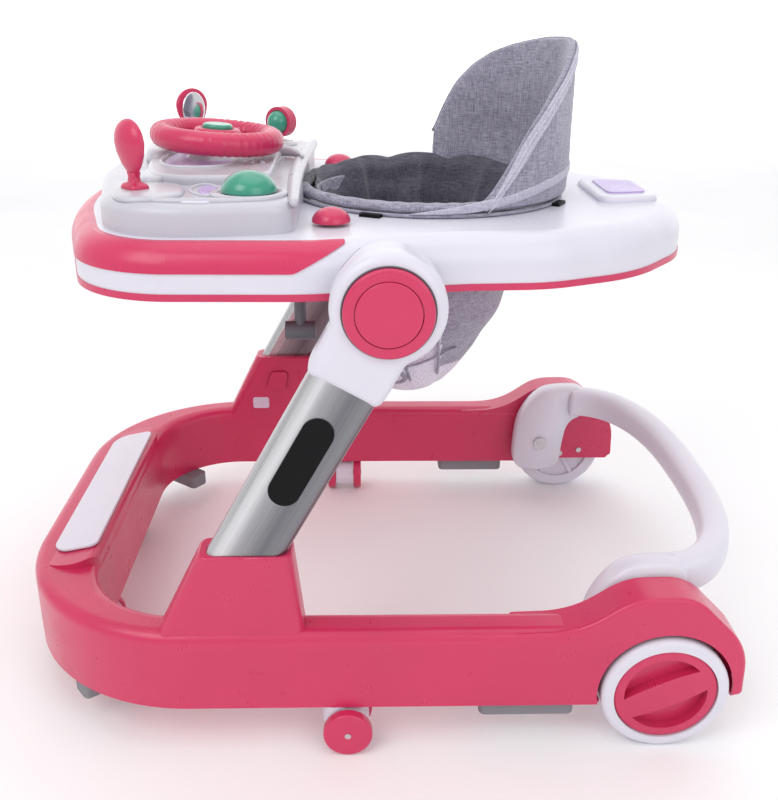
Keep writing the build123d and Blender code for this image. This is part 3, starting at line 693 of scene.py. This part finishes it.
def smooth_outline(corners, rounds=3):
    """Corner cutting that rounds a closed outline."""
    points = corners
    for _ in range(rounds):
        cut = []
        for a, b in zip(points, points[1:] + points[:1]):
            cut.append(tuple(p * 0.75 + q * 0.25 for p, q in zip(a, b)))
            cut.append(tuple(p * 0.25 + q * 0.75 for p, q in zip(a, b)))
        points = cut
    return points


def handle():
    """White push handle: a flat-sided band round the rear on two wide legs."""
    path = []
    for t in np.linspace(0, pi, 73):
        path.append(Vector((215 * powered(cos(t), 0.8), 237 + 95 * sin(t) ** 0.8, 150)))
    rings = []
    for i, point in enumerate(path):
        ahead = path[min(len(path) - 1, i + 1)]
        behind = path[max(0, i - 1)]
        along = (ahead - behind).normalized()
        out = Vector((along.y, -along.x, 0)).normalized()
        ring = []
        for j in range(28):
            t = 2 * pi * j / 28
            rise = Vector((0, 0, 19.5 * powered(sin(t), 0.72)))
            ring.append(point + out * 15.5 * powered(cos(t), 0.72) + rise)
        rings.append(ring)
    points, faces = skin(rings, caps=True)
    bar = add_mesh("handle_bar", points, faces, "white_plastic", "handle", levels=1)
    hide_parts("push_handle")
    corners = [(166, 46), (166, 96), (172, 132), (196, 166), (226, 172), (262, 170), (262, 133),
               (240, 124), (233, 92), (231, 46)]
    outline = smooth_outline(corners)
    for sign, name in ((1, "left"), (-1, "right")):
        side_pad(f"handle_leg_{name}", outline, sign * 207.2, sign * 233.8, 5.0, "white_plastic", "handle")


handle()


# ---- steering wheel ----
TILT = radians(4)
STEER_Y, STEER_Z, STEER_R, STEER_RIM = -190.0, 528.0, 55.0, 11.5


def steer_point(x, y, z):
    """A point given about the steering axis, tilted as the wheel is."""
    return (x, STEER_Y + y * cos(TILT) + z * sin(TILT), STEER_Z - y * sin(TILT) + z * cos(TILT))


def steering_wheel():
    """Rim with finger grips, three dished spokes and a raised hub."""
    rings = []
    for i in range(168):
        a = 2 * pi * i / 168
        grip = 0.5 + 0.5 * cos(3 * a - pi / 2)
        notch = 1.25 * grip * (0.5 + 0.5 * cos(a * 48)) ** 3
        ring = []
        for j in range(20):
            t = 2 * pi * j / 20
            r = STEER_RIM - notch
            ring.append(steer_point((STEER_R + r * cos(t)) * cos(a), (STEER_R + r * cos(t)) * sin(a),
                                    r * sin(t)))
        rings.append(ring)
    points, faces = skin(rings, along=True)
    rim = add_mesh("steering_rim", points, faces, "pink_plastic", "steering_wheel")
    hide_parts("steering_wheel")
    for index, turn in enumerate((90, 210, 330)):
        a = radians(turn)
        rings = []
        for s in np.linspace(0, 1, 9):
            r = 17.6 + 30.4 * s
            half = 10.5 - 3.0 * sin(pi * s)
            sag = 4.0 * sin(pi * s)
            section = [(half, 4 - sag * 0.6), (half * 0.6, 6.2 - sag), (-half * 0.6, 6.2 - sag),
                       (-half, 4 - sag * 0.6), (-half, -4), (-half * 0.5, -6), (half * 0.5, -6), (half, -4)]
            rings.append([steer_point(r * cos(a) - w * sin(a), r * sin(a) + w * cos(a), z)
                          for w, z in section])
        points, faces = skin(rings, caps=True)
        add_mesh(f"steering_spoke_{index}", points, faces, "pink_plastic", "steering_wheel", levels=1)
    profile = [(7, -25), (7.9, -24), (7.9, -9), (17, -7.5), (23, -5), (24.5, 0), (24, 5), (21.5, 8.3),
               (17.5, 9), (16.2, 7.6), (15.9, -1), (14, -1.4)]
    rings = [[steer_point(r * cos(2 * pi * j / 48), r * sin(2 * pi * j / 48), z) for j in range(48)]
             for r, z in profile]
    points, faces = skin(rings, caps=True)
    add_mesh("steering_hub", points, faces, "pink_plastic", "steering_wheel")


steering_wheel()


# ---- console details ----
def console_details():
    """Raised and sunk details of the play panel."""
    top = CONSOLE_Z
    rear = [(x, -109 + 0.0002 * x * x, top - 1.0) for x in np.linspace(-190, 196, 70)]
    add_rod("console_rear_rim", rear, lambda s: 2.5 + 5.0 * sin(pi * s) ** 0.4, "console_plastic",
            "tray", sides=16)
    hook = [(-8 - 46 * sin(t), -140 + 34 * cos(t), top + 7.5) for t in np.linspace(0.0, 2.7, 30)]
    add_rod("console_swoosh", hook, lambda s: 1.5 + 4.0 * sin(pi * s), "console_plastic", "tray",
            sides=12)
    near_edge = [(198 - 0.0035 * (y + 185) ** 2, y, top + 0.5) for y in np.linspace(-236, -128, 34)]
    add_rod("console_side_ridge", near_edge, lambda s: 1.0 + 2.4 * sin(pi * s), "console_plastic", "tray",
            sides=12)
    far_edge = [(-x, y, z) for x, y, z in near_edge]
    add_rod("console_far_ridge", far_edge, lambda s: 1.0 + 2.4 * sin(pi * s), "console_plastic", "tray",
            sides=12)
    add_pad("mirror_mound_near", oval(160, -228, 38, 30, 0.1, 2.4), top, 4.2, "console_plastic")
    add_pad("mirror_mound_far", oval(-160, -228, 38, 30, -0.1, 2.4), top, 4.2, "console_plastic")
    turned("dome_seat", [(24.8, top - 1), (34, top - 1), (33, top + 2.4), (29.5, top + 3.6),
                         (25.6, top + 2.6), (24.9, top - 0.6)], (160, -142), "console_plastic", "tray")
    turned("spinner_seat", [(3, top - 1), (22, top - 1), (21, top + 1.8), (16, top + 3.2),
                            (6, top + 3.4), (5.6, top + 2)], (-160, -142), "console_plastic", "tray")
    add_pad("lens_pad", oval(84, -238, 32, 13, 0.1, 2.2), top + 0.5, 5.5, "console_plastic")
    add_rim("lens_rim", oval(84, -238, 36, 16, 0.1, 2.2), top + 0.4, 1.6, "console_plastic")
    add_pad("leaf_pad", oval(146, -178, 25, 10, 0.25, 1.6), top, 1.2, "lilac_label")
    add_rim("leaf_rim", oval(144, -182, 28, 13, 0.2, 1.7), top + 0.3, 1.9, "console_plastic")
    add_pad("pill_pad", oval(200, -182, 4, 12, 0.0, 3.0), top + 0.2, 1.6, "white_plastic")
    add_pad("wheel_recess", oval(4, -205, 62, 34, 0.0, 2.6), top + 8, 1.0, "lilac_label")
    add_rim("wheel_recess_rim", oval(4, -205, 66, 38, 0.0, 2.6), top + 8.2, 2.2, "console_plastic")
    add_pad("far_hood", oval(-58, -254, 62, 17, 0.05, 2.6), top + 2, 11.0, "console_plastic")
    for row in range(3):
        for column in range(4):
            x, y = 2 + column * 11, -166 + row * 10 + 3 * (column % 2)
            add_pad(f"dot_{row}_{column}", oval(x, y, 3.6, 2.8, 0.4, count=20), top + 8, 1.4,
                    "console_plastic")


console_details()


# ---- mirrors ----
MIRROR_X, MIRROR_Y = 157.0, -240.0
MIRROR_TURN = radians(42)
MIRROR_HALF = 22.0


def mirror_point(sign, u, v, z):
    """A point u across a mirror and v towards the child, from the head's middle plane."""
    turn = MIRROR_TURN * sign
    x, y = u * cos(turn) - v * sin(turn), u * sin(turn) + v * cos(turn)
    return (sign * MIRROR_X + x, MIRROR_Y + y, z)


def mirror_head(name, sign, body):
    """Teardrop mirror shell: round above, drawn in to its stalk, flatter towards the child."""
    rings = []
    for s in np.linspace(0, 1, 34):
        z = 512 + 50 * sin(pi / 2 * s)
        half = float(np.interp(z, [512, 517, 524, 534, 543], [4.5, 7.5, 14.5, 20.0, MIRROR_HALF]))
        if z > 543:
            half = MIRROR_HALF * max(0.001, 1 - ((z - 543) / 19.0) ** 2) ** 0.5
        share = half / MIRROR_HALF
        ring = []
        for j in range(36):
            t = 2 * pi * j / 36
            depth = 10.5 if sin(t) > 0 else 2.4
            ring.append(mirror_point(sign, half * cos(t), -depth * share * sin(t), z))
        rings.append(ring)
    points, faces = skin(rings, caps=True)
    shell = add_mesh(name, points, faces, "pink_plastic", body, levels=1)
    foot = oval(sign * MIRROR_X, MIRROR_Y, 12.5, 9.5, MIRROR_TURN * sign, 3.4)
    steps = [(1.0, 503.6), (1.0, 506), (0.85, 508.2), (0.5, 509.4), (0.42, 514), (0.5, 518)]
    points, faces = skin(pad_rings(foot, steps), caps=True)
    add_mesh(name + "_foot", points, faces, "pink_plastic", body)
    return shell


def mirror_face(name, sign, body):
    """Oval reflective film set in the head's flat side."""
    rings = []
    for f, v in ((1.0, 1.6), (1.0, 2.9), (0.93, 3.2), (0.4, 3.3), (0.05, 3.3)):
        ring = []
        for j in range(40):
            t = 2 * pi * j / 40
            ring.append(mirror_point(sign, 16.0 * f * cos(t), v, 539 + 19.0 * f * sin(t)))
        rings.append(ring)
    points, faces = skin(rings, caps=True)
    return add_mesh(name, points, faces, "mirror_film", body)


for sign, side_name in ((1, "left"), (-1, "right")):
    shell = mirror_head(f"mirror_teardrop_{side_name}", sign, f"mirror_{side_name}")
    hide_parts(f"mirror_{side_name}_shell")
    film = mirror_face(f"mirror_film_{side_name}", sign, f"mirror_{side_name}")
    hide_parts(f"mirror_{side_name}_glass")


# ---- light, floor and camera ----
def aim(thing, target):
    """Turn a light towards a point."""
    thing.rotation_euler = (Vector(target) - thing.location).to_track_quat("-Z", "Y").to_euler()


def area_light(name, spot, target, power, size):
    light = bpy.data.lights.new(name, "AREA")
    light.energy = power
    light.size = size
    holder = bpy.data.objects.new(name, light)
    holder.location = spot
    aim(holder, target)
    scene.collection.objects.link(holder)


area_light("key_light", (1.6, -1.4, 2.3), (0, 0, 0.3), 22, 1.6)
area_light("fill_light", (1.9, 1.3, 1.4), (0, 0, 0.3), 11, 1.8)
area_light("top_light", (-0.3, 0.1, 2.6), (0, 0, 0.2), 13, 2.2)

world = bpy.data.worlds.new("studio")
world.use_nodes = True
world.node_tree.nodes["Background"].inputs["Color"].default_value = (1, 1, 1, 1)
world.node_tree.nodes["Background"].inputs["Strength"].default_value = 0.72
scene.world = world
scene.view_settings.view_transform = "Standard"


def plain_sheet(name, corners, roughness, cloud_size, low, high):
    """A large sheet with faint clouds, and its shader."""
    mesh = bpy.data.meshes.new(name)
    mesh.from_pydata(corners, [], [(0, 1, 2, 3)])
    material, tree, shader, coords = start_material(name, roughness)
    clouds = noise_value(tree, coords, *cloud_size)
    tree.links.new(ramp(tree, clouds, [(0.3, low), (0.7, high)]), shader.inputs["Base Color"])
    mesh.materials.append(material)
    sheet = bpy.data.objects.new(name, mesh)
    scene.collection.objects.link(sheet)
    return sheet, shader


floor, floor_shader = plain_sheet(
    "floor", [(-6, -6, 0), (6, -6, 0), (6, 6, 0), (-6, 6, 0)], 0.75, (2.0, 3.0),
    (0.92, 0.92, 0.93), (0.95, 0.95, 0.96))

backdrop, backdrop_shader = plain_sheet(
    "backdrop", [(-4, -7, -0.1), (-4, 7, -0.1), (-4, 7, 5), (-4, -7, 5)], 0.9, (1.0, 2.0),
    (0.90, 0.90, 0.91), (0.94, 0.94, 0.95))
backdrop_shader.inputs["Emission Color"].default_value = (1, 1, 1, 1)
backdrop_shader.inputs["Emission Strength"].default_value = 0.55

# The camera fitted to the photograph.
CAMERA_AT = Vector((0.98455, -0.0447 + SHIFT_Y, 0.65087))
PITCH, YAW, ROLL = 0.394, 0.03, 0.01
LENS_MM, SENSOR_MM = 42.663105, 36
camera_data = bpy.data.cameras.new("studio_camera")
camera_data.sensor_width = SENSOR_MM
camera_data.lens = LENS_MM
camera = bpy.data.objects.new("studio_camera", camera_data)
forward = Vector((-cos(YAW), sin(YAW), 0))
right = Vector((sin(YAW), cos(YAW), 0))
up = Vector((0, 0, 1))
look = forward * cos(PITCH) - up * sin(PITCH)
head = up * cos(PITCH) + forward * sin(PITCH)
side = right * cos(ROLL) + head * sin(ROLL)
above = head * cos(ROLL) - right * sin(ROLL)
camera.matrix_world = Matrix.Translation(CAMERA_AT) @ Matrix((side, above, -look)).transposed().to_4x4()
scene.collection.objects.link(camera)
scene.camera = camera
